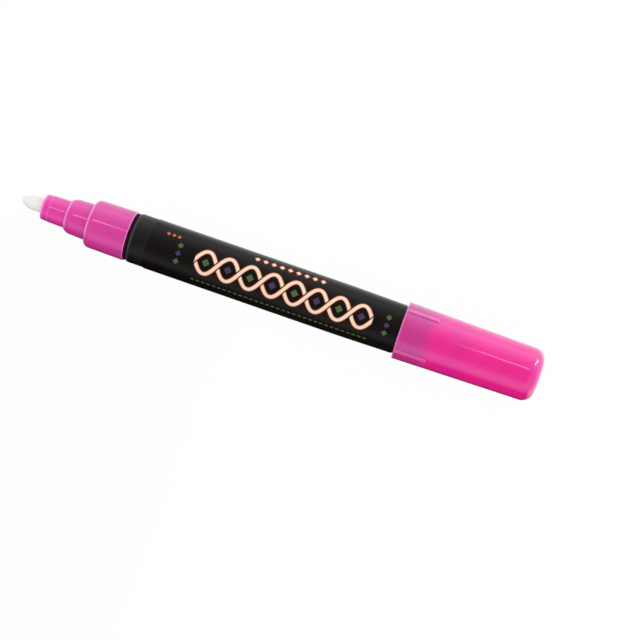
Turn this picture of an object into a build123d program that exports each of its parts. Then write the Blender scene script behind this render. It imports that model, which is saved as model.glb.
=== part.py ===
from build123d import *
from math import cos, pi, sin, sqrt
import os

# Liquid chalk marker with a sprung valve behind its nib, lying on its side with the cap posted
# on its tail. Sizes are in millimetres. The axis runs along X with the nib towards -X, and
# stations along it are measured from the barrel's front face. The origin is on the resting
# surface, under the middle of the whole length.

# Barrel: the ink tank, a closed tube with a slightly tapered tail
BARREL_LENGTH = 95.25
BARREL_OD = 15.3
BARREL_WALL = 1.1
BARREL_END_WALL = 1.6
BARREL_FRONT_ROUND = 0.85
CHAMBER_END_ROUND = 1.0
TAIL_LENGTH = 27.2
TAIL_TAPER = 0.8
TAIL_END_ROUND = 0.8

# Label: a wrap of film that follows the barrel and its taper
LABEL_START = 5.85
LABEL_CAP_GAP = 0.6
LABEL_FILM = 0.14
LABEL_GLUE_GAP = 0.02

# Gasket in the joint between nose and barrel
GASKET_THICKNESS = 0.85
GASKET_INSET = 0.35

# Nose: three steps, each a slim cone behind a rounded shoulder
BODY_LENGTH = 13.2
BODY_DRAFT = 0.35
BODY_SHOULDER = 1.95
BODY_FACE = 0.27
BODY_REAR_CHAMFER = 0.25
NECK_LENGTH = 7.15
NECK_OD = 11.35
NECK_DRAFT = 0.35
NECK_SHOULDER = 2.7
NECK_FACE = 0.35
TIP_LENGTH = 7.8
TIP_OD = 8.5
TIP_DRAFT = 0.25
TIP_CONE_LENGTH = 2.4
TIP_CONE_DROP = 0.5
TIP_ROUND = 0.3

# Plug of the nose, held in the barrel by a snap bead
PLUG_LENGTH = 14.0
PLUG_CLEARANCE = 0.05
BEAD_STATION = 8.0
BEAD_WIDTH = 1.2
BEAD_HEIGHT = 0.15

# Nib, and the ink well round its tail
NIB_OD = 4.5
NIB_REACH = 7.1
NIB_TIP_LENGTH = 4.6
NIB_CLEARANCE = 0.08
NIB_TRAVEL = 2.0
NIB_TAIL_CLEARANCE = 1.0
WELL_LENGTH = 6.0
WELL_LEDGE = 0.65

# Valve: housing, seat, plunger, spring and spring retainer
HOUSING_LENGTH = 16.0
HOUSING_OD = 8.4
HOUSING_WALL = 0.8
HOUSING_FRONT_WALL = 2.0
VALVE_FIT = 0.03
SEAT_THICKNESS = 1.6
SEAT_OVERLAP = 0.9
ROD_FLOW_GAP = 0.5
HEAD_FLOW_GAP = 0.9
HEAD_THICKNESS = 1.8
GUIDE_OD = 1.8
GUIDE_OVERHANG = 1.5
GUIDE_CLEARANCE = 0.08
RETAINER_THICKNESS = 1.8
PORT_COUNT = 4
PORT_LAND = 0.2
SPRING_WIRE = 0.45
SPRING_GUIDE_GAP = 0.45
SPRING_TURNS = 6
SPRING_END_GAP = 0.05

# Mixing ball, lying at the front of the ink chamber
BALL_OD = 6.0
BALL_WALL_GAP = 0.15
BALL_FRONT_GAP = 0.4

# Cap: a socket that fits over the nose as well as the tail, and a sealing skirt for the nose's tip
CAP_LENGTH = 43.6
CAP_WALL = 1.125
CAP_DRAFT = 1.5
CAP_END_FLAT = 6.0
CAP_END_FALL = 0.35
CAP_END_ROUND = 3.4
CAP_END_WALL = 1.8
CAP_INNER_ROUND = 0.5
CAP_POST_DEPTH = 9.8
CAP_SOCKET_CLEARANCE = 0.1
CAP_STOP_CLEARANCE = 0.55
CAP_STOP_LEDGE = 0.45
CAP_BORE_DRAFT = 0.6
SKIRT_LENGTH = 11.0
SKIRT_WALL = 0.8
SKIRT_CLEARANCE = 0.05
RIB_COUNT = 4
RIB_FIRST_ANGLE = 45
RIB_LENGTH = 10.25
RIB_WIDTH = 1.6
RIB_HEIGHT = 0.4
RIB_ROOT = 0.6
RIB_ROUND = 0.3
GRIP_INSET = 1.0
GRIP_LENGTH = 8.0
GRIP_WIDTH = 0.9
GRIP_ROOT = 0.4
GRIP_CLEARANCE = 0.05

# Stations of the nose, from its rear rim forwards
body_rear = -GASKET_THICKNESS
body_front = body_rear - BODY_LENGTH
neck_front = body_front - NECK_LENGTH
tip_front = neck_front - TIP_LENGTH
nib_tip = tip_front - NIB_REACH

# Stations of the valve, with the housing's end flush with the plug's
housing_front = PLUG_LENGTH - HOUSING_LENGTH
seat_front = housing_front + HOUSING_FRONT_WALL
head_front = seat_front + SEAT_THICKNESS
head_rear = head_front + HEAD_THICKNESS
retainer_front = PLUG_LENGTH - RETAINER_THICKNESS
guide_end = PLUG_LENGTH + GUIDE_OVERHANG
well_front = housing_front - WELL_LENGTH
nib_tail = housing_front - NIB_TRAVEL - NIB_TAIL_CLEARANCE

# Stations of the barrel and the cap
tail_start = BARREL_LENGTH - TAIL_LENGTH
chamber_end = BARREL_LENGTH - BARREL_END_WALL
cap_mouth = BARREL_LENGTH - CAP_POST_DEPTH
cap_end = cap_mouth + CAP_LENGTH
label_end = cap_mouth - LABEL_CAP_GAP

# Radii of the barrel and of the nose that lines up with it
barrel_outside = BARREL_OD / 2
barrel_bore = barrel_outside - BARREL_WALL
tail_radius = barrel_outside - TAIL_TAPER / 2
body_front_radius = barrel_outside - BODY_DRAFT / 2
neck_radius = NECK_OD / 2
neck_front_radius = neck_radius - NECK_DRAFT / 2
tip_radius = TIP_OD / 2
tip_cone_radius = tip_radius - TIP_DRAFT / 2
tip_front_radius = tip_cone_radius - TIP_CONE_DROP / 2
plug_radius = barrel_bore - PLUG_CLEARANCE
channel_radius = NIB_OD / 2 + NIB_CLEARANCE

# Radii of the valve, from the housing inwards and from the guide pin outwards
pocket_radius = HOUSING_OD / 2 + VALVE_FIT
well_radius = pocket_radius - WELL_LEDGE
housing_bore = HOUSING_OD / 2 - HOUSING_WALL
head_radius = housing_bore - HEAD_FLOW_GAP
seat_hole = head_radius - SEAT_OVERLAP
rod_radius = seat_hole - ROD_FLOW_GAP
retainer_radius = housing_bore - VALVE_FIT
guide_radius = GUIDE_OD / 2
coil_radius = guide_radius + SPRING_GUIDE_GAP + SPRING_WIRE / 2
coil_outside = coil_radius + SPRING_WIRE / 2
port_circle = (coil_outside + retainer_radius) / 2
port_radius = (retainer_radius - coil_outside) / 2 - PORT_LAND

# Radii of the cap, from the barrel and the nose's tip outwards
socket_radius = barrel_outside + CAP_SOCKET_CLEARANCE
cap_mouth_radius = socket_radius + CAP_WALL
cap_end_radius = cap_mouth_radius - CAP_DRAFT / 2
cap_bore = socket_radius - CAP_STOP_LEDGE
cap_bore_end = cap_bore - CAP_BORE_DRAFT / 2
skirt_radius = tip_radius + SKIRT_CLEARANCE

# The frame that every piece is placed in
axis_height = cap_mouth_radius
barrel_front_x = -(nib_tip + cap_end) / 2
SIDE = Plane(origin=(barrel_front_x, 0, axis_height), x_dir=(1, 0, 0), z_dir=(0, -1, 0))
AXLE = Axis((barrel_front_x, 0, axis_height), (1, 0, 0))


def cross_plane(station):
    """Plane across the axis at a station, facing the tail."""
    return Plane(origin=(barrel_front_x + station, 0, axis_height), x_dir=(0, 1, 0), z_dir=(1, 0, 0))


def barrel_radius(station):
    """Outer radius of the barrel at a station on its tapered tail."""
    share = (station - tail_start) / TAIL_LENGTH
    return barrel_outside + share * (tail_radius - barrel_outside)


def bead_outline(radius):
    """Corners of the snap bead that stands on a radius."""
    return [
        (BEAD_STATION, radius),
        (BEAD_STATION + BEAD_HEIGHT, radius + BEAD_HEIGHT),
        (BEAD_STATION + BEAD_WIDTH - BEAD_HEIGHT, radius + BEAD_HEIGHT),
        (BEAD_STATION + BEAD_WIDTH, radius),
    ]


# Barrel
with BuildPart() as barrel:
    with BuildSketch(SIDE):
        with BuildLine():
            FilletPolyline(
                (0, barrel_bore),
                (0, barrel_outside),
                (tail_start, barrel_outside),
                (BARREL_LENGTH, tail_radius),
                (BARREL_LENGTH, 0),
                (chamber_end, 0),
                (chamber_end, barrel_bore),
                radius=[0, BARREL_FRONT_ROUND, 0, TAIL_END_ROUND, 0, 0, CHAMBER_END_ROUND],
                close=True,
            )
        make_face()
    revolve(axis=AXLE)
    with BuildSketch(SIDE):
        with BuildLine():
            Polyline(*bead_outline(barrel_bore), close=True)
        make_face()
    revolve(axis=AXLE, mode=Mode.SUBTRACT)

# Label
label_radius = barrel_outside + LABEL_GLUE_GAP
label_end_radius = barrel_radius(label_end) + LABEL_GLUE_GAP
with BuildPart() as label:
    with BuildSketch(SIDE):
        with BuildLine():
            Polyline(
                (LABEL_START, label_radius),
                (tail_start, label_radius),
                (label_end, label_end_radius),
                (label_end, label_end_radius + LABEL_FILM),
                (tail_start, label_radius + LABEL_FILM),
                (LABEL_START, label_radius + LABEL_FILM),
                close=True,
            )
        make_face()
    revolve(axis=AXLE)

# Nose gasket
with BuildPart() as nose_gasket:
    with BuildSketch(cross_plane(body_rear)):
        Circle(barrel_outside - GASKET_INSET)
        Circle(barrel_bore, mode=Mode.SUBTRACT)
    extrude(amount=GASKET_THICKNESS)

# Nose
with BuildPart() as nose:
    with BuildSketch(SIDE):
        with BuildLine():
            tip_line = Polyline(
                (tip_front, channel_radius),
                (tip_front, tip_front_radius),
                (tip_front + TIP_CONE_LENGTH, tip_cone_radius),
                (neck_front, tip_radius),
                (neck_front, tip_radius + NECK_FACE),
            )
            neck_line = Line((neck_front + NECK_SHOULDER, neck_front_radius), (body_front, neck_radius))
            TangentArc(neck_line @ 0, tip_line @ 1, tangent=-(neck_line % 0))
            body_line = Line(
                (body_front + BODY_SHOULDER, body_front_radius),
                (body_rear - BODY_REAR_CHAMFER, barrel_outside),
            )
            face_line = Line(neck_line @ 1, (body_front, neck_radius + BODY_FACE))
            TangentArc(body_line @ 0, face_line @ 1, tangent=-(body_line % 0))
            Polyline(
                body_line @ 1,
                (body_rear, barrel_outside - BODY_REAR_CHAMFER),
                (body_rear, plug_radius),
                *bead_outline(plug_radius),
                (PLUG_LENGTH, plug_radius),
                (PLUG_LENGTH, pocket_radius),
                (housing_front, pocket_radius),
                (housing_front, well_radius),
                (well_front, well_radius),
                (well_front, channel_radius),
                tip_line @ 0,
            )
        make_face()
    revolve(axis=AXLE)
    fillet(nose.faces().sort_by(Axis.X)[0].outer_wire().edges(), radius=TIP_ROUND)

# Nib
with BuildPart() as nib:
    with BuildSketch(SIDE):
        with BuildLine():
            nib_crown = EllipticalCenterArc(
                (nib_tip + NIB_TIP_LENGTH, 0),
                x_radius=NIB_TIP_LENGTH,
                y_radius=NIB_OD / 2,
                start_angle=90,
                arc_size=90,
            )
            Polyline(nib_crown @ 1, (nib_tail, 0), (nib_tail, NIB_OD / 2), nib_crown @ 0)
        make_face()
    revolve(axis=AXLE)

# Valve housing
with BuildPart() as valve_housing:
    with BuildSketch(SIDE):
        with BuildLine():
            Polyline(
                (housing_front, seat_hole),
                (housing_front, HOUSING_OD / 2),
                (PLUG_LENGTH, HOUSING_OD / 2),
                (PLUG_LENGTH, housing_bore),
                (seat_front, housing_bore),
                (seat_front, seat_hole),
                close=True,
            )
        make_face()
    revolve(axis=AXLE)

# Valve seat
with BuildPart() as valve_seat:
    with BuildSketch(cross_plane(seat_front)):
        Circle(housing_bore - VALVE_FIT)
        Circle(seat_hole, mode=Mode.SUBTRACT)
    extrude(amount=SEAT_THICKNESS)

# Valve plunger: the rod meets the nib's tail, the head closes on the seat
with BuildPart() as valve_plunger:
    with BuildSketch(SIDE):
        with BuildLine():
            Polyline(
                (nib_tail, 0),
                (nib_tail, rod_radius),
                (head_front, rod_radius),
                (head_front, head_radius),
                (head_rear, head_radius),
                (head_rear, guide_radius),
                (guide_end, guide_radius),
                (guide_end, 0),
                close=True,
            )
        make_face()
    revolve(axis=AXLE)

# Spring retainer
with BuildPart() as spring_retainer:
    with BuildSketch(cross_plane(retainer_front)):
        Circle(retainer_radius)
        Circle(guide_radius + GUIDE_CLEARANCE, mode=Mode.SUBTRACT)
        with PolarLocations(port_circle, PORT_COUNT):
            Circle(port_radius, mode=Mode.SUBTRACT)
    extrude(amount=RETAINER_THICKNESS)

# Valve spring: a helix of quarter turns, each made of two arcs that meet smoothly
coil_start = head_rear + SPRING_END_GAP + SPRING_WIRE / 2
coil_end = retainer_front - SPRING_END_GAP - SPRING_WIRE / 2
coil_pitch = (coil_end - coil_start) / SPRING_TURNS
QUARTERS_PER_TURN = 4


def coil_point(turns):
    """Point on the spring's centre line after a number of turns."""
    angle = 2 * pi * turns
    return Vector(
        barrel_front_x + coil_start + coil_pitch * turns,
        coil_radius * cos(angle),
        axis_height + coil_radius * sin(angle),
    )


def coil_direction(turns):
    """Direction of the spring's centre line after a number of turns."""
    angle = 2 * pi * turns
    rim = 2 * pi * coil_radius
    return Vector(coil_pitch, -rim * sin(angle), rim * cos(angle)).normalized()


def arc_meeting(start, start_way, end, end_way):
    """Point and direction where an arc from the start and an arc to the end meet smoothly."""
    span = end - start
    along = span.dot(start_way + end_way)
    spread = 2 * (1 - start_way.dot(end_way))
    reach = (sqrt(along**2 + spread * span.dot(span)) - along) / spread
    point = (start + end + (start_way - end_way) * reach) / 2
    return point, span - (start_way + end_way) * reach


with BuildPart() as valve_spring:
    with BuildLine() as spring_path:
        for quarter in range(SPRING_TURNS * QUARTERS_PER_TURN):
            first = quarter / QUARTERS_PER_TURN
            last = (quarter + 1) / QUARTERS_PER_TURN
            quarter_start = coil_point(first)
            quarter_end = coil_point(last)
            start_way = coil_direction(first)
            meeting, meeting_way = arc_meeting(quarter_start, start_way, quarter_end, coil_direction(last))
            TangentArc(quarter_start, meeting, tangent=start_way)
            TangentArc(meeting, quarter_end, tangent=meeting_way)
    with BuildSketch(Plane(origin=coil_point(0), z_dir=coil_direction(0))):
        Circle(SPRING_WIRE / 2)
    sweep()

# Least gap between the spring's turns, measured on points of its centre line
POINTS_PER_TURN = 24
coil_steps = SPRING_TURNS * POINTS_PER_TURN
coil_points = spring_path.wire().positions([step / coil_steps for step in range(coil_steps + 1)])
coil_gaps = [
    (coil_points[later] - coil_points[step]).length
    for step in range(coil_steps)
    for later in range(step + POINTS_PER_TURN // 2, coil_steps + 1)
]
print(f"least gap between the spring's turns: {min(coil_gaps) - SPRING_WIRE:.2f} mm")

# Mixing ball
ball_x = barrel_front_x + guide_end + NIB_TRAVEL + BALL_FRONT_GAP + BALL_OD / 2
ball_z = axis_height - barrel_bore + BALL_WALL_GAP + BALL_OD / 2
with BuildPart() as mixing_ball:
    with Locations((ball_x, 0, ball_z)):
        Sphere(BALL_OD / 2)

# Cap
socket_end = cap_mouth + LABEL_START + GASKET_THICKNESS + BODY_LENGTH + CAP_STOP_CLEARANCE
cap_floor = cap_end - CAP_END_WALL
skirt_mouth = cap_floor - SKIRT_LENGTH
rib_middle = cap_mouth_radius + (RIB_HEIGHT - RIB_ROOT) / 2
grip_radius = barrel_radius(cap_mouth) + GRIP_CLEARANCE
grip_depth = socket_radius + GRIP_ROOT - grip_radius
with BuildPart() as cap:
    with BuildSketch(SIDE):
        with BuildLine():
            FilletPolyline(
                (cap_mouth, socket_radius),
                (cap_mouth, cap_mouth_radius),
                (cap_end - CAP_END_FALL, cap_end_radius),
                (cap_end, CAP_END_FLAT / 2),
                (cap_end, 0),
                (cap_floor, 0),
                (cap_floor, skirt_radius),
                (skirt_mouth, skirt_radius),
                (skirt_mouth, skirt_radius + SKIRT_WALL),
                (cap_floor, skirt_radius + SKIRT_WALL),
                (cap_floor, cap_bore_end),
                (socket_end, cap_bore),
                (socket_end, socket_radius),
                radius=[0, 0, CAP_END_ROUND, 0, 0, 0, 0, 0, 0, 0, CAP_INNER_ROUND, 0, 0],
                close=True,
            )
        make_face()
    revolve(axis=AXLE)
    with BuildSketch(cross_plane(cap_mouth)):
        with PolarLocations(rib_middle, RIB_COUNT, start_angle=RIB_FIRST_ANGLE):
            RectangleRounded(RIB_HEIGHT + RIB_ROOT, RIB_WIDTH, RIB_ROUND)
    extrude(amount=RIB_LENGTH)
    with BuildSketch(cross_plane(cap_mouth + GRIP_INSET)):
        with PolarLocations(grip_radius + grip_depth / 2, RIB_COUNT, start_angle=RIB_FIRST_ANGLE):
            Rectangle(grip_depth, GRIP_WIDTH)
    extrude(amount=GRIP_LENGTH)

pieces = {
    "barrel": barrel,
    "label": label,
    "nose_gasket": nose_gasket,
    "nose": nose,
    "nib": nib,
    "valve_housing": valve_housing,
    "valve_seat": valve_seat,
    "valve_plunger": valve_plunger,
    "valve_spring": valve_spring,
    "spring_retainer": spring_retainer,
    "mixing_ball": mixing_ball,
    "cap": cap,
}
os.makedirs("parts", exist_ok=True)
for name, piece in pieces.items():
    piece.part.label = name
    export_step(piece.part, f"parts/{name}.step")
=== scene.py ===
import math

import bmesh
import bpy
from mathutils import Matrix, Vector


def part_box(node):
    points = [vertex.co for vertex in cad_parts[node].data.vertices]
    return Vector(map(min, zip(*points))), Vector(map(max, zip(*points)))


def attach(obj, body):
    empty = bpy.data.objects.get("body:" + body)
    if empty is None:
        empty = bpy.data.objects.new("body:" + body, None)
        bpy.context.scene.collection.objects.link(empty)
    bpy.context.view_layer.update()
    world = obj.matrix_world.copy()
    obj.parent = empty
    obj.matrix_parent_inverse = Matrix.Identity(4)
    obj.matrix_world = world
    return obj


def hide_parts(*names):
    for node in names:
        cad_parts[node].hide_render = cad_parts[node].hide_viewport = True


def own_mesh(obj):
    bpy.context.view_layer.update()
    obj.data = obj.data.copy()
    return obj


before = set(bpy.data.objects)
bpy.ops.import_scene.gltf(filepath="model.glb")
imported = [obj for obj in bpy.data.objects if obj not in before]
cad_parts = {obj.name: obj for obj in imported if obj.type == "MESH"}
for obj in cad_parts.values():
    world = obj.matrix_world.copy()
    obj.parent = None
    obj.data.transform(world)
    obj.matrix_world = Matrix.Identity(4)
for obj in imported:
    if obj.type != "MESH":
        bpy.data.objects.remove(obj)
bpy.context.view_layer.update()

# Sizes are in millimetres. Stations run along the marker's axis from the barrel's front face, and are below
# zero towards the nib. A ROUND is how far back from an edge its rounding starts.
MM = 0.001

# Barrel
BARREL_RADIUS = 7.65
BARREL_BORE = 6.55
BARREL_LENGTH = 95.25
BARREL_FRONT_ROUND = 0.85
BARREL_REAR_ROUND = 0.8
CHAMBER_END = 93.65
CHAMBER_ROUND = 1.0
TAIL_START = 68.05
TAIL_RADIUS = 7.25

# Label. Its seam's angle, from the top, and half width are in degrees. Faces to raise are picked by their
# distance from the axis, between two RADII
LABEL_START = 5.85
LABEL_END = 84.85
LABEL_FILM = 0.14
LABEL_GLUE = 0.02
LABEL_RADIUS = BARREL_RADIUS + LABEL_GLUE + LABEL_FILM
LABEL_ROUND = 0.05
SEAM_ANGLE = -100.0
SEAM_HALF = 8.75
SEAM_INSET = 0.1
SEAM_RADII = (7.6, 8.0)
SEAM_LAP = 0.04

# Nose: tip, neck and body, from front to rear, then what is inside it
TIP_FRONT = -29.0
TIP_FRONT_RADIUS = 3.875
TIP_FRONT_ROUND = 0.3
TIP_CONE = 2.4
TIP_CONE_RADIUS = 4.125
TIP_CONE_ROUND = 0.2
TIP_REAR_RADIUS = 4.25
NECK_FRONT = -21.2
NECK_FRONT_RADIUS = 4.6
NECK_SHOULDER = 2.7
NECK_SHOULDER_RADIUS = 5.5
NECK_REAR_RADIUS = 5.675
BODY_FRONT = -14.05
BODY_FRONT_RADIUS = 5.945
BODY_SHOULDER = 1.95
BODY_SHOULDER_RADIUS = 7.475
BODY_REAR = -0.85
BODY_REAR_ROUND = 0.25
STEP_ROUND = 0.08
SHOULDER_ROUND = 0.12
NIB_CHANNEL = 2.33
CHANNEL_ROUND = 0.15
WELL_FRONT = -8.0
WELL_RADIUS = 3.58
POCKET_FRONT = -2.0
POCKET_RADIUS = 4.23
POCKET_ROUND = 0.1
PLUG_END = 14.0
PLUG_RADIUS = 6.5
PLUG_ROUND = 0.2

# Gasket
GASKET_RADIUS = 7.3
GASKET_ROUND = 0.15

# Nib
NIB_TIP = -36.1
NIB_CROWN = 4.6
NIB_TAIL = -5.0
NIB_RADIUS = 2.25
NIB_TAIL_ROUND = 0.25

# Cap. Its ribs and grips start and end at depths behind its mouth. Their angles, from the top, and their half
# widths are in degrees
CAP_MOUTH = 85.45
CAP_MOUTH_RADIUS = 8.875
CAP_MOUTH_ROUND = 0.25
CAP_END = 129.05
CAP_END_RADIUS = 8.125
CAP_END_FLAT = 3.0
CAP_END_FALL = 0.35
CAP_END_ROUND = 3.4
CAP_SIDE = CAP_END - CAP_END_FALL - CAP_MOUTH
CAP_SOCKET = 7.75
SOCKET_END = 105.9
SOCKET_ROUND = 0.1
CAP_BORE = 7.3
CAP_BORE_END = 7.0
CAP_BORE_ROUND = 0.5
CAP_FLOOR = 127.25
SKIRT_MOUTH = 116.25
SKIRT_INSIDE = 4.3
SKIRT_OUTSIDE = 5.1
SKIRT_ROUND = 0.2
RIB_ANGLES = (45, 135, 225, 315)
RIB_HALF = 5.1
RIB_START = 0.35
RIB_LENGTH = 10.25
RIB_RADII = (8.6, 9.0)
RIB_HEIGHT = 0.4
RIB_ROUND = 0.36
GRIP_HALF = 2.6
GRIP_START = 1.0
GRIP_END = 9.0
GRIP_RADII = (7.6, 7.9)
GRIP_HEIGHT = 0.3
GRIP_ROUND = 0.1

# Valve spring
SPRING_FRONT = 3.45
SPRING_REAR = 12.15
SPRING_SEAT = 12.2
SPRING_COIL = 1.575
SPRING_WIRE = 0.225
SPRING_TURNS = 6

# Fineness of the meshes
TURN_STEPS = 144
COIL_STEPS = 32
WIRE_SIDES = 10
CROWN_STEPS = 14

# How far apart points may lie and still count as one, in metres, and for a radius in millimetres
MERGE = 1e-7
STATION_SLACK = 1e-6
RADIUS_SLACK = 1e-3

barrel_low, barrel_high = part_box("barrel")
AXIS_Z = (barrel_low.z + barrel_high.z) / 2
FRONT_X = barrel_low.x


def along(station):
    """X of a station, in metres."""
    return FRONT_X + station * MM


def off_axis(point):
    """Distance of a point from the marker's axis, in millimetres."""
    return math.hypot(point.y, point.z - AXIS_Z) / MM


# Shapes


def ring_edges(bm, station, radius):
    """Edges of the ring that an outline's corner leaves."""

    def on_ring(vert):
        at_station = abs(vert.co.x - along(station)) < STATION_SLACK
        return at_station and abs(off_axis(vert.co) - radius) < RADIUS_SLACK

    return [edge for edge in bm.edges if all(on_ring(vert) for vert in edge.verts)]


def bevelled(bm, edges, size, segments):
    """Rounds edges, from a size back on either side."""
    bmesh.ops.bevel(
        bm,
        geom=edges,
        offset=size * MM,
        offset_type="OFFSET",
        segments=segments,
        profile=0.5,
        affect="EDGES",
        clamp_overlap=True,
        material=-1,
    )


def turned(outline, closed=False, segments=4):
    """A mesh turned about the axis from corners of (station, radius, round)."""
    bm = bmesh.new()
    corners = [bm.verts.new((along(station), 0, AXIS_Z + radius * MM)) for station, radius, _ in outline]
    for pair in zip(corners, corners[1:]):
        bm.edges.new(pair)
    if closed:
        bm.edges.new((corners[-1], corners[0]))
    bmesh.ops.spin(
        bm,
        geom=bm.verts[:] + bm.edges[:],
        cent=(0, 0, AXIS_Z),
        axis=(1, 0, 0),
        dvec=(0, 0, 0),
        angle=2 * math.pi,
        steps=TURN_STEPS,
        use_merge=True,
    )
    bmesh.ops.remove_doubles(bm, verts=bm.verts, dist=MERGE)
    bmesh.ops.recalc_face_normals(bm, faces=bm.faces)
    for station, radius, size in outline:
        if size:
            bevelled(bm, ring_edges(bm, station, radius), size, segments)
    return bm


def shoulder(start, start_radius, end, end_radius, steps=9):
    """Outline corners of a convex shoulder that runs level into a cone at its end, without the first."""
    run = end - start
    rise = end_radius - start_radius
    bend = (run**2 + rise**2) / (2 * rise)
    sweep = math.asin(run / bend)
    turns = [sweep * (1 - step / steps) for step in range(1, steps + 1)]
    return [(end - bend * math.sin(turn), end_radius - bend * (1 - math.cos(turn)), 0) for turn in turns]


def faces_between(bm, stations, radii, middle, half_width):
    """Faces between two stations and two radii, within an angle either side of a middle, from the top."""
    chosen = []
    for face in bm.faces:
        centre = face.calc_center_median()
        turn = math.atan2(centre.y, centre.z - AXIS_Z)
        apart = abs((turn - math.radians(middle) + math.pi) % (2 * math.pi) - math.pi)
        station = (centre.x - FRONT_X) / MM
        if stations[0] < station < stations[1] and radii[0] < off_axis(centre) < radii[1]:
            if apart < math.radians(half_width):
                chosen.append(face)
    return chosen


def lifted(bm, faces, height, edge_round=0, segments=3):
    """Raises faces off a turned surface by a height and rounds the edges of what stands up."""
    raised = bmesh.ops.extrude_face_region(bm, geom=faces)["geom"]
    for vert in (item for item in raised if isinstance(item, bmesh.types.BMVert)):
        outwards = Vector((0, vert.co.y, vert.co.z - AXIS_Z)).normalized()
        vert.co += outwards * height * MM
    tops = {item for item in raised if isinstance(item, bmesh.types.BMFace)}
    bmesh.ops.delete(bm, geom=faces, context="FACES")
    top_edges = [edge for face in tops for edge in face.edges]
    rim = [edge for edge in top_edges if sum(link in tops for link in edge.link_faces) == 1]
    if edge_round:
        bevelled(bm, rim, edge_round, segments)


def piece(bm, name, body, node, material):
    """A finished piece that stands for a CAD node and moves with its body."""
    for face in bm.faces:
        face.smooth = True
    mesh = bpy.data.meshes.new(name)
    bm.to_mesh(mesh)
    bm.free()
    made = bpy.data.objects.new(name, mesh)
    bpy.context.scene.collection.objects.link(made)
    mesh.materials.append(material)
    shading = made.modifiers.new("even_shading", "WEIGHTED_NORMAL")
    shading.keep_sharp = True
    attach(made, body)
    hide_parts(node)
    return made


# Finishes


class Wire:
    """An output of a shader node. Python's operators on it add Math nodes."""

    def __init__(self, finish, socket):
        self.finish = finish
        self.socket = socket

    def other(self, name):
        """Another output of the same node."""
        return Wire(self.finish, self.socket.node.outputs[name])

    def math(self, operation, *others):
        """A Math node with this value first."""
        return self.finish.node("ShaderNodeMath", {"operation": operation}, dict(enumerate((self, *others))))

    def reflected(self, operation, first):
        """A Math node with this value second."""
        return self.finish.node("ShaderNodeMath", {"operation": operation}, {0: first, 1: self})

    def __add__(self, other):
        return self.math("ADD", other)

    def __sub__(self, other):
        return self.math("SUBTRACT", other)

    def __mul__(self, other):
        return self.math("MULTIPLY", other)

    def __truediv__(self, other):
        return self.math("DIVIDE", other)

    def __pow__(self, other):
        return self.math("POWER", other)

    def __gt__(self, other):
        return self.math("GREATER_THAN", other)

    def __abs__(self):
        return self.math("ABSOLUTE")

    def __radd__(self, other):
        return self.reflected("ADD", other)

    def __rsub__(self, other):
        return self.reflected("SUBTRACT", other)

    def __rmul__(self, other):
        return self.reflected("MULTIPLY", other)

    def __rtruediv__(self, other):
        return self.reflected("DIVIDE", other)

    def __rpow__(self, other):
        return self.reflected("POWER", other)

    def limited(self):
        """The value held between 0 and 1."""
        return self.finish.node("ShaderNodeClamp", sockets={"Value": self})

    def within(self, reach, blur=0.06):
        """1 below a reach and 0 above it, with a soft edge as wide as the blur."""
        return ((reach - self) / blur + 0.5).limited()

    def between(self, low, high):
        """A value that goes from low to high as this one goes from 0 to 1."""
        return low + self * (high - low)


# A Mix node's sockets for colours, by number, as the ones for other values have the same names
MIX_SHARE = 0
MIX_FIRST = 6
MIX_SECOND = 7
MIX_RESULT = 2


class Finish:
    """The shader tree of a material or of the world."""

    def __init__(self, owner):
        owner.use_nodes = True
        self.owner = owner
        self.tree = owner.node_tree
        self.tree.nodes.clear()

    def node(self, kind, settings=None, sockets=None, output=0):
        """A node of a kind, with its settings, then the values or links of its sockets."""
        made = self.tree.nodes.new(kind)
        for name, value in (settings or {}).items():
            setattr(made, name, value)
        for name, value in (sockets or {}).items():
            if isinstance(value, Wire):
                self.tree.links.new(value.socket, made.inputs[name])
            else:
                made.inputs[name].default_value = value
        return Wire(self, made.outputs[output]) if made.outputs else None

    def place(self):
        """Object coordinates, in metres in the marker's frame."""
        return self.node("ShaderNodeTexCoord", output="Object")

    def axes(self, place):
        """The three parts of a place, as X, Y and Z."""
        x = self.node("ShaderNodeSeparateXYZ", sockets={0: place}, output="X")
        return x, x.other("Y"), x.other("Z")

    def noise(self, place, scale, detail=3.0, roughness=0.5):
        """Noise from 0 to 1. A scale of 1000 makes spots of about a millimetre."""
        sockets = {"Vector": place, "Scale": scale, "Detail": detail, "Roughness": roughness}
        return self.node("ShaderNodeTexNoise", {"normalize": True}, sockets)

    def streaks(self, place, lengthwise, across, detail=3.0, roughness=0.5):
        """Noise with a scale of its own along the marker and another across it."""
        sockets = {"Vector": place, "Scale": (lengthwise, across, across)}
        stretched = self.node("ShaderNodeMapping", {"vector_type": "POINT"}, sockets)
        return self.noise(stretched, 1.0, detail, roughness)

    def mixed(self, share, first, second):
        """A colour between two colours."""
        sockets = {MIX_SHARE: share, MIX_FIRST: first, MIX_SECOND: second}
        return self.node("ShaderNodeMix", {"data_type": "RGBA"}, sockets, MIX_RESULT)

    def bump(self, height, distance, strength=1.0):
        """A normal that follows a height."""
        sockets = {"Strength": strength, "Distance": distance, "Height": height}
        return self.node("ShaderNodeBump", sockets=sockets)

    def surface(self, sockets):
        """Ends the material with a Principled shader."""
        shader = self.node("ShaderNodeBsdfPrincipled", sockets=sockets)
        self.node("ShaderNodeOutputMaterial", sockets={"Surface": shader})
        return self.owner


def new_finish(name):
    """The empty shader tree of a new material."""
    return Finish(bpy.data.materials.new(name))


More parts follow.
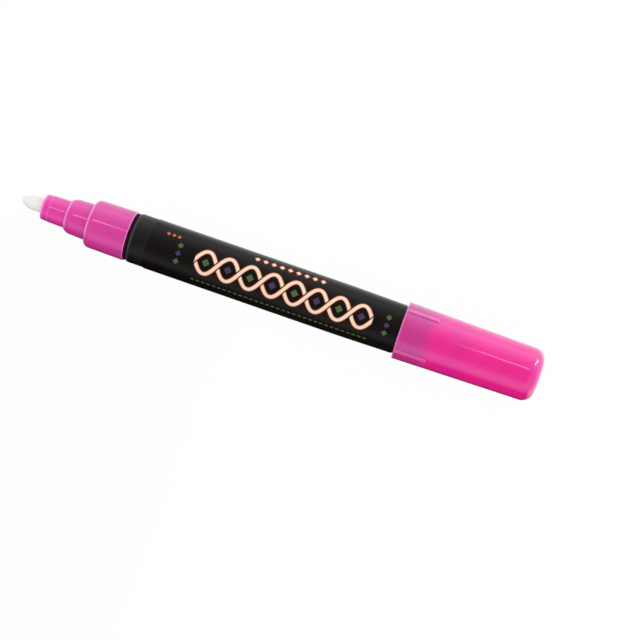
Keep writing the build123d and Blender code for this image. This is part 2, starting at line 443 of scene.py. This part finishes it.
# Stations of the nose's rims, painted pale as highlights, each with its half width
NECK_HIGHLIGHT_SET_BACK = 0.46
BODY_HIGHLIGHT_SET_BACK = 0.56
NOSE_RIM_HIGHLIGHTS = {
    TIP_FRONT: 0.66,
    TIP_FRONT + TIP_CONE: 0.06,
    NECK_FRONT + NECK_HIGHLIGHT_SET_BACK: 0.30,
    BODY_FRONT + BODY_HIGHLIGHT_SET_BACK: 0.34,
    BODY_REAR: 0.22,
}
RIM_HIGHLIGHT_BLUR = 0.2
RIM_HIGHLIGHT_SHARE = 0.6
PARTING_HALF = 0.05
NOSE_DEEP = (0.58, 0.040, 0.27, 1)
NOSE_PALE = (0.63, 0.050, 0.30, 1)
NOSE_TIP_LIGHT = (0.80, 0.046, 0.36, 1)
TIP_LIGHT_SHARE = 0.8
NOSE_RIM_HIGHLIGHT = (1.0, 0.35, 0.74, 1)


def moulded_pink_nose():
    """Satin pink plastic with a fine grain and parting lines, its tip painted brighter as painted light and
    its rims painted pale as painted highlights.
    """
    finish = new_finish("nose_satin_pink")
    place = finish.place()
    x, _, z = finish.axes(place)
    cloud = finish.noise(place, scale=180.0)
    grain = finish.noise(place, scale=9000.0, detail=2.0)
    colour = finish.mixed(cloud, NOSE_DEEP, NOSE_PALE)
    # Painted light: the nose is painted brighter towards its tip
    towards_tip = ((along(BODY_REAR) - x) / (along(BODY_REAR) - along(TIP_FRONT))).limited()
    colour = finish.mixed(towards_tip * TIP_LIGHT_SHARE, colour, NOSE_TIP_LIGHT)
    # Painted highlights: the rims are painted pale where light catches their edges
    rim_highlights = 0
    for station, half_width in NOSE_RIM_HIGHLIGHTS.items():
        rim_highlights = rim_highlights + abs(x - along(station)).within(half_width * MM, RIM_HIGHLIGHT_BLUR * MM)
    colour = finish.mixed(rim_highlights.limited() * RIM_HIGHLIGHT_SHARE, colour, NOSE_RIM_HIGHLIGHT)
    parting = abs(z - AXIS_Z).within(PARTING_HALF * MM, PARTING_HALF * MM)
    return finish.surface(
        {
            "Base Color": colour,
            "Roughness": cloud.between(0.07, 0.12),
            "Normal": finish.bump(grain * 0.5 + parting * 1.2, distance=0.004 * MM),
            "IOR": 1.52,
            "Specular IOR Level": 1.0,
            "Specular Tint": (0.92, 0.62, 1.0, 1),
            "Coat Weight": 0.3,
            "Coat Roughness": 0.08,
        }
    )


CAP_MOUTH_PINK = (0.955, 0.017, 0.315, 1)
CAP_END_PINK = (0.985, 0.011, 0.295, 1)
CAP_CLOUD_SHARE = 0.3
CAP_TAIL_SHADE = (0.565, 0.040, 0.28, 1)
TAIL_SHADE_DEPTH = 9.25
TAIL_SHADE_BLUR = 4.6
TAIL_SHADE_SHARE = 0.85
CAP_HIGHLIGHT = (0.98, 0.42, 0.78, 1)
RIB_HIGHLIGHT_START = 0.08
RIB_HIGHLIGHT_RISE = 0.1
RIB_HIGHLIGHT_SHARE = 0.2
MOUTH_HIGHLIGHT_HALF = 0.4
MOUTH_HIGHLIGHT_BLUR = 0.3
MOUTH_HIGHLIGHT_SHARE = 0.4


def translucent_pink_cap():
    """Glossy milky pink plastic with faint flow lines and scuffs, a painted shade round its mouth where the
    black tail sits inside, and painted highlights on its ribs and mouth rim.
    """
    finish = new_finish("cap_milky_pink")
    place = finish.place()
    x, y, z = finish.axes(place)
    cloud = finish.noise(place, scale=120.0)
    flow = finish.streaks(place, lengthwise=60.0, across=900.0)
    scuff = finish.streaks(place, lengthwise=1500.0, across=260.0, detail=4.0)
    towards_end = ((x - along(CAP_MOUTH)) / (along(CAP_END) - along(CAP_MOUTH))).limited()
    end_share = towards_end * (1 - CAP_CLOUD_SHARE) + cloud * CAP_CLOUD_SHARE
    colour = finish.mixed(end_share, CAP_MOUTH_PINK, CAP_END_PINK)
    # Painted shade: darker round the mouth, where the black tail sits inside the cap
    tail_shade = x.within(along(CAP_MOUTH + TAIL_SHADE_DEPTH), TAIL_SHADE_BLUR * MM)
    colour = finish.mixed(tail_shade * TAIL_SHADE_SHARE, colour, CAP_TAIL_SHADE)
    upwards = z - AXIS_Z
    off_middle = (y * y + upwards * upwards).math("SQRT") / MM
    # Painted highlights: the raised rib tops and the mouth rim are painted pale
    painted_highlight = ((off_middle - CAP_MOUTH_RADIUS - RIB_HIGHLIGHT_START) / RIB_HIGHLIGHT_RISE).limited()
    mouth_rim_highlight = abs(x - along(CAP_MOUTH)).within(MOUTH_HIGHLIGHT_HALF * MM, MOUTH_HIGHLIGHT_BLUR * MM)
    highlight_share = (painted_highlight * RIB_HIGHLIGHT_SHARE + mouth_rim_highlight * MOUTH_HIGHLIGHT_SHARE).limited()
    colour = finish.mixed(highlight_share, colour, CAP_HIGHLIGHT)
    return finish.surface(
        {
            "Base Color": colour,
            "Roughness": scuff.between(0.08, 0.14),
            "Normal": finish.bump(flow, distance=0.02 * MM, strength=0.6),
            "IOR": 1.65,
            "Specular IOR Level": 0.9,
            "Specular Tint": (0.30, 0.48, 1.0, 1),
            "Coat Weight": 0.8,
            "Coat IOR": 1.6,
            "Coat Roughness": 0.08,
            "Subsurface Weight": 1.0,
            "Subsurface Radius": (1.0, 0.25, 0.45),
            "Subsurface Scale": 1.6 * MM,
        }
    )


BARREL_BLACK = (0.0078, 0.0056, 0.0062, 1)
BARREL_EDGE_HIGHLIGHT = (0.095, 0.080, 0.088, 1)
BARREL_HIGHLIGHT_MIDDLE = 0.55
BARREL_HIGHLIGHT_HALF = 0.4
BARREL_HIGHLIGHT_BLUR = 0.5
BARREL_HIGHLIGHT_SHARE = 0.8


def moulded_black_barrel():
    """Black plastic with a soft sheen, drawn lines along its length and a painted highlight along its front
    edge, broken up by noise.
    """
    finish = new_finish("barrel_black")
    place = finish.place()
    x, _, _ = finish.axes(place)
    drawn = finish.streaks(place, lengthwise=40.0, across=2500.0)
    grain = finish.noise(place, scale=7000.0, detail=2.0)
    # Painted highlight: the front edge is painted paler in patches
    front_edge = abs(x - along(BARREL_HIGHLIGHT_MIDDLE)).within(BARREL_HIGHLIGHT_HALF * MM, BARREL_HIGHLIGHT_BLUR * MM)
    painted_highlight = front_edge * finish.noise(place, scale=1500.0)
    return finish.surface(
        {
            "Base Color": finish.mixed(painted_highlight * BARREL_HIGHLIGHT_SHARE, BARREL_BLACK, BARREL_EDGE_HIGHLIGHT),
            "Roughness": drawn.between(0.30, 0.46),
            "Normal": finish.bump(drawn * 0.5 + grain * 0.5, distance=0.01 * MM),
            "Specular IOR Level": 0.28,
        }
    )


# Print on the label. Offsets and swings are round the barrel, from a line along its top
BRAID_MIDDLE = 48.9
BRAID_HALF = 28.0
BRAID_WAVE = 14.0
BRAID_SWING = 3.5
STRAND_CORE = 0.46
STRAND_RIM = 0.68
STRAND_GAP = 0.95
EYE_REACH = 1.25
ROW_OFFSET = 6.9
ROW_HALF = 10.4
ROW_PITCH = 2.6
ROW_REACH = 0.72
ROW_RIM = 0.3
RULE_OFFSET = -6.7
RULE_PITCH = 1.7
RULE_REACH = 0.27
DASH_STRETCH = 2.0
TRIO = 3
SMALL_STATION = 12.6
SMALL_OFFSET = 5.0
SMALL_PITCH = 1.7
SMALL_REACH = 0.62
POST_STATIONS = (15.6, 81.3)
POST_PITCH = 2.5
POST_REACH = 0.95
PRINT_WOBBLE = 0.10
CREAM = (0.80, 0.66, 0.52, 1)
ORANGE = (0.60, 0.125, 0.032, 1)
MOSS = (0.070, 0.115, 0.034, 1)
PLUM = (0.062, 0.032, 0.085, 1)
FILM = (0.0056, 0.0036, 0.0037, 1)


def repeated(value, pitch):
    """Distance from the nearest of a row of marks at a pitch, one of them at zero."""
    return abs(value.math("WRAP", pitch / 2, -pitch / 2))


def with_braid(finish, colour, lengthwise, around, wobble):
    """A colour overprinted with two strands that cross, and a lozenge in each eye between them."""
    wave = 2 * math.pi / BRAID_WAVE
    sway = (lengthwise * wave).math("SINE")
    lead = (lengthwise * wave).math("COSINE")
    steepness = ((lead * (BRAID_SWING * wave)) ** 2 + 1).math("SQRT")
    first = abs(around - sway * BRAID_SWING) / steepness
    second = abs(around + sway * BRAID_SWING) / steepness
    over = second + (first - second) * (lead > 0)
    under = first + second - over
    span = abs(lengthwise).within(BRAID_HALF)
    for strand in (under + wobble, over + wobble):
        colour = finish.mixed(strand.within(STRAND_GAP) * span, colour, FILM)
        colour = finish.mixed(strand.within(STRAND_RIM) * span, colour, ORANGE)
        colour = finish.mixed(strand.within(STRAND_CORE) * span, colour, CREAM)
    eye = repeated(lengthwise - BRAID_WAVE / 4, BRAID_WAVE / 2) + abs(around)
    return finish.mixed(eye.within(EYE_REACH) * span, colour, finish.mixed(sway > 0, PLUM, MOSS))


def with_rows(finish, colour, lengthwise, around, wobble):
    """A colour overprinted with a row of lozenges on one side of the braid and a dashed rule opposite."""
    row = repeated(lengthwise, ROW_PITCH) + abs(around - ROW_OFFSET) + wobble
    row_span = abs(lengthwise).within(ROW_HALF + ROW_PITCH / 2)
    colour = finish.mixed(row.within(ROW_REACH + ROW_RIM) * row_span, colour, ORANGE)
    colour = finish.mixed(row.within(ROW_REACH) * row_span, colour, CREAM)
    dash = (repeated(lengthwise, RULE_PITCH) / DASH_STRETCH).math("MAXIMUM", abs(around - RULE_OFFSET))
    return finish.mixed(dash.within(RULE_REACH) * abs(lengthwise).within(BRAID_HALF), colour, MOSS)


def with_trios(finish, colour, lengthwise, around):
    """A colour overprinted with three small lozenges near the front and three at each end of the braid."""
    small = lengthwise - (SMALL_STATION - BRAID_MIDDLE)
    lozenge = repeated(small, SMALL_PITCH) + abs(around - SMALL_OFFSET)
    small_span = abs(small).within(SMALL_PITCH * TRIO / 2)
    colour = finish.mixed(lozenge.within(SMALL_REACH) * small_span, colour, ORANGE)
    for station in POST_STATIONS:
        post = abs(lengthwise - (station - BRAID_MIDDLE)) + repeated(around, POST_PITCH)
        post_span = abs(around).within(POST_PITCH * TRIO / 2)
        post_colour = finish.mixed(abs(around).within(POST_PITCH / 2), MOSS, PLUM)
        colour = finish.mixed(post.within(POST_REACH) * post_span, colour, post_colour)
    return colour


def printed_film():
    """Glossy black film, printed twice round with a braid of two strands, lozenges and a dashed rule."""
    finish = new_finish("label_printed_film")
    place = finish.place()
    x, y, z = finish.axes(place)
    lengthwise = (x - along(BRAID_MIDDLE)) / MM
    turn = y.math("ARCTAN2", z - AXIS_Z).math("WRAP", math.pi / 2, -math.pi / 2)
    around = turn * LABEL_RADIUS
    wobble = (finish.noise(place, scale=2600.0, detail=2.0) - 0.5) * PRINT_WOBBLE
    colour = with_braid(finish, FILM, lengthwise, around, wobble)
    colour = with_rows(finish, colour, lengthwise, around, wobble)
    colour = with_trios(finish, colour, lengthwise, around)
    ripple = finish.streaks(place, lengthwise=90.0, across=420.0, detail=2.0)
    specks = finish.noise(place, scale=1400.0, detail=4.0)
    return finish.surface(
        {
            "Base Color": colour,
            "Roughness": specks.between(0.16, 0.26),
            "Normal": finish.bump(ripple, distance=0.03 * MM, strength=0.5),
            "Specular IOR Level": 0.22,
        }
    )


FELT_DEEP = (0.775, 0.762, 0.735, 1)
FELT_PALE = (0.815, 0.802, 0.775, 1)


def pressed_felt():
    """White felt of fibres that run along the nib."""
    finish = new_finish("nib_pressed_felt")
    place = finish.place()
    fibres = finish.streaks(place, lengthwise=1300.0, across=6500.0, detail=4.0, roughness=0.6)
    tufts = finish.noise(place, scale=1200.0)
    return finish.surface(
        {
            "Base Color": finish.mixed(fibres, FELT_DEEP, FELT_PALE),
            "Roughness": tufts.between(0.86, 0.98),
            "Normal": finish.bump(fibres * 0.7 + tufts * 0.3, distance=0.012 * MM),
            "Sheen Weight": 0.5,
            "Subsurface Weight": 0.15,
            "Subsurface Radius": (1.0, 1.0, 1.0),
            "Subsurface Scale": 0.4 * MM,
        }
    )


def soft_rubber(name, dark, pale):
    """Matt rubber with a dusty bloom."""
    finish = new_finish(name)
    place = finish.place()
    bloom = finish.noise(place, scale=700.0, detail=4.0)
    grain = finish.noise(place, scale=6000.0, detail=2.0)
    return finish.surface(
        {
            "Base Color": finish.mixed(bloom, dark, pale),
            "Roughness": bloom.between(0.62, 0.87),
            "Normal": finish.bump(grain, distance=0.015 * MM),
            "Specular IOR Level": 0.08,
        }
    )


PLASTIC_DEEP = (0.70, 0.70, 0.67, 1)
PLASTIC_PALE = (0.82, 0.82, 0.80, 1)


def natural_plastic():
    """Unpigmented white plastic, slightly clouded."""
    finish = new_finish("valve_natural_plastic")
    place = finish.place()
    cloud = finish.noise(place, scale=350.0)
    grain = finish.noise(place, scale=5000.0, detail=2.0)
    return finish.surface(
        {
            "Base Color": finish.mixed(cloud, PLASTIC_DEEP, PLASTIC_PALE),
            "Roughness": cloud.between(0.40, 0.55),
            "Normal": finish.bump(grain, distance=0.01 * MM),
        }
    )


STEEL_DEEP = (0.52, 0.52, 0.53, 1)
STEEL_PALE = (0.68, 0.68, 0.69, 1)
STEEL_ROUGHER = 0.12


def bright_steel(name, roughness, mark_scale):
    """Steel with fine drawn or tumbled marks."""
    finish = new_finish(name)
    marks = finish.noise(finish.place(), scale=mark_scale, detail=4.0)
    return finish.surface(
        {
            "Base Color": finish.mixed(marks, STEEL_DEEP, STEEL_PALE),
            "Metallic": 1.0,
            "Roughness": marks.between(roughness, roughness + STEEL_ROUGHER),
            "Normal": finish.bump(marks, distance=0.006 * MM),
        }
    )


# Nib: a rod with a bullet end
crown_turns = [math.pi / 2 * step / CROWN_STEPS for step in range(CROWN_STEPS + 1)]
nib_outline = [
    (NIB_TIP + NIB_CROWN * (1 - math.cos(turn)), NIB_RADIUS * math.sin(turn), 0) for turn in crown_turns
]
nib_outline += [(NIB_TAIL, NIB_RADIUS, NIB_TAIL_ROUND), (NIB_TAIL, 0, 0)]
piece(turned(nib_outline), "felt_nib", "nib", "nib", pressed_felt())

# Nose: a coned tip, two cones behind rounded shoulders, a plug for the barrel, and bores for nib and valve
neck_shoulder_end = NECK_FRONT + NECK_SHOULDER
body_shoulder_end = BODY_FRONT + BODY_SHOULDER
nose_outline = [
    (TIP_FRONT, NIB_CHANNEL, CHANNEL_ROUND),
    (TIP_FRONT, TIP_FRONT_RADIUS, TIP_FRONT_ROUND),
    (TIP_FRONT + TIP_CONE, TIP_CONE_RADIUS, TIP_CONE_ROUND),
    (NECK_FRONT, TIP_REAR_RADIUS, STEP_ROUND),
    (NECK_FRONT, NECK_FRONT_RADIUS, SHOULDER_ROUND),
    *shoulder(NECK_FRONT, NECK_FRONT_RADIUS, neck_shoulder_end, NECK_SHOULDER_RADIUS),
    (BODY_FRONT, NECK_REAR_RADIUS, STEP_ROUND),
    (BODY_FRONT, BODY_FRONT_RADIUS, SHOULDER_ROUND),
    *shoulder(BODY_FRONT, BODY_FRONT_RADIUS, body_shoulder_end, BODY_SHOULDER_RADIUS),
    (BODY_REAR, BARREL_RADIUS, BODY_REAR_ROUND),
    (BODY_REAR, PLUG_RADIUS, 0),
    (PLUG_END, PLUG_RADIUS, PLUG_ROUND),
    (PLUG_END, POCKET_RADIUS, POCKET_ROUND),
    (POCKET_FRONT, POCKET_RADIUS, 0),
    (POCKET_FRONT, WELL_RADIUS, 0),
    (WELL_FRONT, WELL_RADIUS, 0),
    (WELL_FRONT, NIB_CHANNEL, 0),
]
piece(turned(nose_outline, closed=True), "stepped_nose", "barrel", "nose", moulded_pink_nose())

# Gasket in the joint. Its black rubber is tinted magenta and darkened, a painted reflection of the pink nose
# and painted shade of the gap
GASKET_PINK_CAST_DARK = (0.018, 0.002, 0.010, 1)
GASKET_PINK_CAST_DUSTY = (0.026, 0.004, 0.015, 1)
gasket_outline = [
    (BODY_REAR, BARREL_BORE, 0),
    (BODY_REAR, GASKET_RADIUS, GASKET_ROUND),
    (0, GASKET_RADIUS, GASKET_ROUND),
    (0, BARREL_BORE, 0),
]
gasket = turned(gasket_outline, closed=True)
gasket_rubber = soft_rubber("gasket_rubber_pink_cast", GASKET_PINK_CAST_DARK, GASKET_PINK_CAST_DUSTY)
piece(gasket, "joint_gasket", "barrel", "nose_gasket", gasket_rubber)

# Barrel: a closed tank with a rounded front edge and a tapered tail
barrel_outline = [
    (CHAMBER_END, 0, 0),
    (CHAMBER_END, BARREL_BORE, CHAMBER_ROUND),
    (0, BARREL_BORE, 0),
    (0, BARREL_RADIUS, BARREL_FRONT_ROUND),
    (TAIL_START, BARREL_RADIUS, 0),
    (BARREL_LENGTH, TAIL_RADIUS, BARREL_REAR_ROUND),
    (BARREL_LENGTH, 0, 0),
]
piece(turned(barrel_outline), "ink_barrel", "barrel", "barrel", moulded_black_barrel())

# Label: a film that follows the taper, with a lapped seam at one side
tail_slope = (TAIL_RADIUS - BARREL_RADIUS) / (BARREL_LENGTH - TAIL_START)
label_end_radius = BARREL_RADIUS + tail_slope * (LABEL_END - TAIL_START) + LABEL_GLUE
label_outline = [
    (LABEL_START, LABEL_RADIUS - LABEL_FILM, 0),
    (LABEL_START, LABEL_RADIUS, LABEL_ROUND),
    (TAIL_START, LABEL_RADIUS, 0),
    (LABEL_END, label_end_radius + LABEL_FILM, LABEL_ROUND),
    (LABEL_END, label_end_radius, 0),
    (TAIL_START, LABEL_RADIUS - LABEL_FILM, 0),
]
label = turned(label_outline, closed=True, segments=2)
seam_stations = (LABEL_START + SEAM_INSET, LABEL_END - SEAM_INSET)
seam = faces_between(label, seam_stations, SEAM_RADII, SEAM_ANGLE, SEAM_HALF)
middle = Vector((0, 0, AXIS_Z))
outer_seam = [face for face in seam if face.normal.dot(face.calc_center_median() - middle) > 0]
lifted(label, outer_seam, SEAM_LAP)
piece(label, "wrap_label", "barrel", "label", printed_film())


# Cap: a drafted shell with a sealing skirt, four ribs round its mouth and four grips inside it
def cap_radius(depth):
    """Outer radius of the cap at a depth behind its mouth."""
    return CAP_MOUTH_RADIUS + (CAP_END_RADIUS - CAP_MOUTH_RADIUS) * depth / CAP_SIDE


cap_outline = [
    (CAP_FLOOR, 0, 0),
    (CAP_FLOOR, SKIRT_INSIDE, SKIRT_ROUND),
    (SKIRT_MOUTH, SKIRT_INSIDE, SKIRT_ROUND),
    (SKIRT_MOUTH, SKIRT_OUTSIDE, SKIRT_ROUND),
    (CAP_FLOOR, SKIRT_OUTSIDE, SKIRT_ROUND),
    (CAP_FLOOR, CAP_BORE_END, CAP_BORE_ROUND),
    (SOCKET_END, CAP_BORE, SOCKET_ROUND),
    (SOCKET_END, CAP_SOCKET, SOCKET_ROUND),
    (CAP_MOUTH + GRIP_END, CAP_SOCKET, 0),
    (CAP_MOUTH + GRIP_START, CAP_SOCKET, 0),
    (CAP_MOUTH, CAP_SOCKET, CAP_MOUTH_ROUND),
    (CAP_MOUTH, CAP_MOUTH_RADIUS, CAP_MOUTH_ROUND),
    (CAP_MOUTH + RIB_START, cap_radius(RIB_START), 0),
    (CAP_MOUTH + RIB_LENGTH, cap_radius(RIB_LENGTH), 0),
    (CAP_END - CAP_END_FALL, CAP_END_RADIUS, CAP_END_ROUND),
    (CAP_END, CAP_END_FLAT, 0),
    (CAP_END, 0, 0),
]
cap = turned(cap_outline, segments=8)
rib_stations = (CAP_MOUTH + RIB_START, CAP_MOUTH + RIB_LENGTH)
grip_stations = (CAP_MOUTH + GRIP_START, CAP_MOUTH + GRIP_END)
for angle in RIB_ANGLES:
    rib = faces_between(cap, rib_stations, RIB_RADII, angle, RIB_HALF)
    lifted(cap, rib, RIB_HEIGHT, RIB_ROUND, segments=5)
    grip = faces_between(cap, grip_stations, GRIP_RADII, angle, GRIP_HALF)
    lifted(cap, grip, -GRIP_HEIGHT, GRIP_ROUND)
piece(cap, "ribbed_cap", "cap", "cap", translucent_pink_cap())

# Valve spring: a wound wire
coil = bmesh.new()
coil_pitch = (SPRING_REAR - SPRING_FRONT - 2 * SPRING_WIRE) / SPRING_TURNS
wire = bmesh.ops.create_circle(coil, cap_ends=False, segments=WIRE_SIDES, radius=SPRING_WIRE * MM)["verts"]
bmesh.ops.rotate(coil, verts=wire, cent=(0, 0, 0), matrix=Matrix.Rotation(math.pi / 2, 3, "X"))
coil_start = Vector((along(SPRING_FRONT + SPRING_WIRE), 0, AXIS_Z + SPRING_COIL * MM))
bmesh.ops.translate(coil, verts=wire, vec=coil_start)
bmesh.ops.spin(
    coil,
    geom=coil.verts[:] + coil.edges[:],
    cent=(0, 0, AXIS_Z),
    axis=(1, 0, 0),
    dvec=(coil_pitch / COIL_STEPS * MM, 0, 0),
    angle=2 * math.pi * SPRING_TURNS,
    steps=COIL_STEPS * SPRING_TURNS,
    use_merge=False,
)
bmesh.ops.holes_fill(coil, edges=[edge for edge in coil.edges if edge.is_boundary], sides=0)
bmesh.ops.recalc_face_normals(coil, faces=coil.faces)
spring_steel = bright_steel("spring_drawn_wire", roughness=0.22, mark_scale=1800.0)
spring = piece(coil, "valve_coil", "barrel", "valve_spring", spring_steel)
along(SPRING_SEAT)
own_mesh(spring)

# Finishes of the parts that keep their own solids
SEAT_DARK = (0.085, 0.085, 0.085, 1)
SEAT_DUSTY = (0.12, 0.12, 0.12, 1)
valve_plastic = natural_plastic()
inside_finishes = {
    "valve_housing": valve_plastic,
    "valve_plunger": valve_plastic,
    "spring_retainer": valve_plastic,
    "valve_seat": soft_rubber("seat_grey_rubber", SEAT_DARK, SEAT_DUSTY),
    "mixing_ball": bright_steel("ball_tumbled_steel", roughness=0.10, mark_scale=900.0),
}
for node_name, material in inside_finishes.items():
    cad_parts[node_name].data.materials.clear()
    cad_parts[node_name].data.materials.append(material)

# From here on lengths are in metres.
# Floor: a pale sheet, sloped so that the cap's mouth and the label's front edge both lie on it
FLOOR_HALF = 3.0
FLOOR_SQUARES = 8
floor_touch_high = Vector((along(LABEL_START), 0, AXIS_Z - LABEL_RADIUS * MM))
floor_touch_low = Vector((along(CAP_MOUTH), 0, AXIS_Z - CAP_MOUTH_RADIUS * MM))
floor_fall = math.atan2(floor_touch_high.z - floor_touch_low.z, floor_touch_low.x - floor_touch_high.x)
floor_bm = bmesh.new()
bmesh.ops.create_grid(floor_bm, x_segments=FLOOR_SQUARES, y_segments=FLOOR_SQUARES, size=FLOOR_HALF)
bmesh.ops.rotate(floor_bm, verts=floor_bm.verts, cent=(0, 0, 0), matrix=Matrix.Rotation(floor_fall, 3, "Y"))
bmesh.ops.translate(floor_bm, verts=floor_bm.verts, vec=floor_touch_low)
floor_mesh = bpy.data.meshes.new("floor_sheet")
floor_bm.to_mesh(floor_mesh)
floor_bm.free()
floor = bpy.data.objects.new("floor_sheet", floor_mesh)
bpy.context.scene.collection.objects.link(floor)

# Floor's finish: white where it is seen or mirrored, except that gloss sees it black in a wide wedge beside
# the marker at -Y, a painted shade in reflections.
# For all other light it is matt, and darker where that wedge lies by the nose, a painted shade under the
# marker
FLOOR_SEEN_WHITE = 0.98
FLOOR_PALE = (0.85, 0.85, 0.85, 1)
FLOOR_SHADED = (0.05, 0.05, 0.05, 1)
WHITE = (1, 1, 1, 1)
BLACK = (0, 0, 0, 1)
BESIDE_REACH = 0.078
BESIDE_SLANT = 0.8
BESIDE_BLUR = 0.012
NOSE_SHADE_END = -0.02
NOSE_SHADE_BLUR = 0.03
sheet = new_finish("floor_white")
path = sheet.node("ShaderNodeLightPath", output="Is Camera Ray")
gloss = path.other("Is Glossy Ray")
seen = (path + gloss + path.other("Is Transmission Ray")).limited() * FLOOR_SEEN_WHITE
floor_x, floor_y, _ = sheet.axes(sheet.place())
between_ends = (abs(floor_x) + floor_y * BESIDE_SLANT).within(BESIDE_REACH, BESIDE_BLUR)
beside = floor_y.within(0, BESIDE_BLUR) * between_ends
# Painted shade: the matt floor is darker by the nose, and gloss sees the wedge black
painted_shade_by_nose = beside * floor_x.within(NOSE_SHADE_END, NOSE_SHADE_BLUR)
matt_colour = sheet.mixed(painted_shade_by_nose, FLOOR_PALE, FLOOR_SHADED)
matt = sheet.node("ShaderNodeBsdfDiffuse", sockets={"Color": matt_colour})
white = sheet.node("ShaderNodeEmission", sockets={"Color": sheet.mixed(gloss * beside, WHITE, BLACK)})
floor_surface = sheet.node("ShaderNodeMixShader", sockets={0: seen, 1: matt, 2: white})
sheet.node("ShaderNodeOutputMaterial", sockets={"Surface": floor_surface})
floor_mesh.materials.append(sheet.owner)

# Light: an even tent, a little brighter towards +Y. Gloss mirrors it dim overhead and brighter low down,
# towards +Y and towards +X, with a soft band halfway up at -Y
TENT_LEVEL = 1.08
TENT_LEAN = 0.06
MIRROR_TOP = 0.17
MIRROR_SIDE = 0.65
MIRROR_END = 0.38
MIRROR_LOW = 0.60
LOW_START = 0.25
LOW_LEAN = 1.4
MIRROR_BAND = 0.52
BAND_MIDDLE = 0.5
BAND_HALF = 0.4
tent = Finish(bpy.data.worlds.new("light_tent"))
bpy.context.scene.world = tent.owner
sky_x, sky_y, sky_z = tent.axes(tent.node("ShaderNodeTexCoord", output="Generated"))
even = TENT_LEVEL + sky_y * TENT_LEAN
mirrored_side = sky_y.limited() ** 2 * MIRROR_SIDE
mirrored_end = sky_x.limited() * MIRROR_END
mirrored_low = (1 - sky_z) ** 2 * (LOW_START + sky_y * LOW_LEAN).limited() * MIRROR_LOW
band_height = (1 - ((sky_z - BAND_MIDDLE) / BAND_HALF) ** 2).limited()
mirrored_band = band_height * (0 - sky_y).limited() * MIRROR_BAND
mirrored = mirrored_side + mirrored_low + mirrored_band + mirrored_end + MIRROR_TOP
tent_path = tent.node("ShaderNodeLightPath", output="Is Camera Ray")
seen_sky = (tent_path + tent_path.other("Is Transmission Ray")).limited()
level = even + (mirrored - even) * tent_path.other("Is Glossy Ray")
level = level + (1 - level) * seen_sky
sky = tent.node("ShaderNodeBackground", sockets={"Color": WHITE, "Strength": level})
tent.node("ShaderNodeOutputWorld", sockets={"Surface": sky})


def strip_lamp(name, middle, aim, length, width, watts):
    """An oblong lamp that faces a point."""
    lamp = bpy.data.lights.new(name, "AREA")
    lamp.shape = "RECTANGLE"
    lamp.size = length
    lamp.size_y = width
    lamp.energy = watts
    holder = bpy.data.objects.new(name, lamp)
    holder.location = middle
    holder.rotation_euler = (Vector(aim) - Vector(middle)).to_track_quat("-Z", "Y").to_euler()
    bpy.context.scene.collection.objects.link(holder)


strip_lamp(
    "left_strip",
    middle=(-0.172, 0.102, 0.41),
    aim=(-0.05, 0, 0.009),
    length=0.090,
    width=0.030,
    watts=0.0245,
)
strip_lamp(
    "right_strip",
    middle=(0.115, 0.150, 0.41),
    aim=(0.05, 0, 0.009),
    length=0.080,
    width=0.030,
    watts=0.015,
)
strip_lamp(
    "corner_strip",
    middle=(0.322, 0.290, 0.110),
    aim=(0.08, 0, 0.012),
    length=0.060,
    width=0.240,
    watts=0.29,
)

# Camera: above the marker, turned so that it slants down to the right. Its sensor and lens are in millimetres
IMAGE_SIZE = 640
FOCAL_PIXELS = 1930.0
SENSOR = 36.0
CAMERA_AIM = Vector((0.01511, -0.00516, 0.008875))
TOWARDS_CAMERA = Vector((0.0757, 0.0305, 1.0))
CAMERA_DISTANCE = 0.579
NEAREST_SEEN = 0.01
SLANT = math.radians(19.06)
camera_back = TOWARDS_CAMERA.normalized()
camera_up = Vector((-math.sin(SLANT), math.cos(SLANT), 0))
camera_right = camera_up.cross(camera_back).normalized()
camera_up = camera_back.cross(camera_right)
camera_data = bpy.data.cameras.new("camera")
camera_data.sensor_width = SENSOR
camera_data.lens = FOCAL_PIXELS * SENSOR / IMAGE_SIZE
camera_data.clip_start = NEAREST_SEEN
camera = bpy.data.objects.new("camera", camera_data)
turn_matrix = Matrix((camera_right, camera_up, camera_back)).transposed().to_4x4()
camera.matrix_world = Matrix.Translation(CAMERA_AIM + camera_back * CAMERA_DISTANCE) @ turn_matrix
bpy.context.scene.collection.objects.link(camera)
bpy.context.scene.camera = camera
bpy.context.scene.view_settings.view_transform = "Standard"
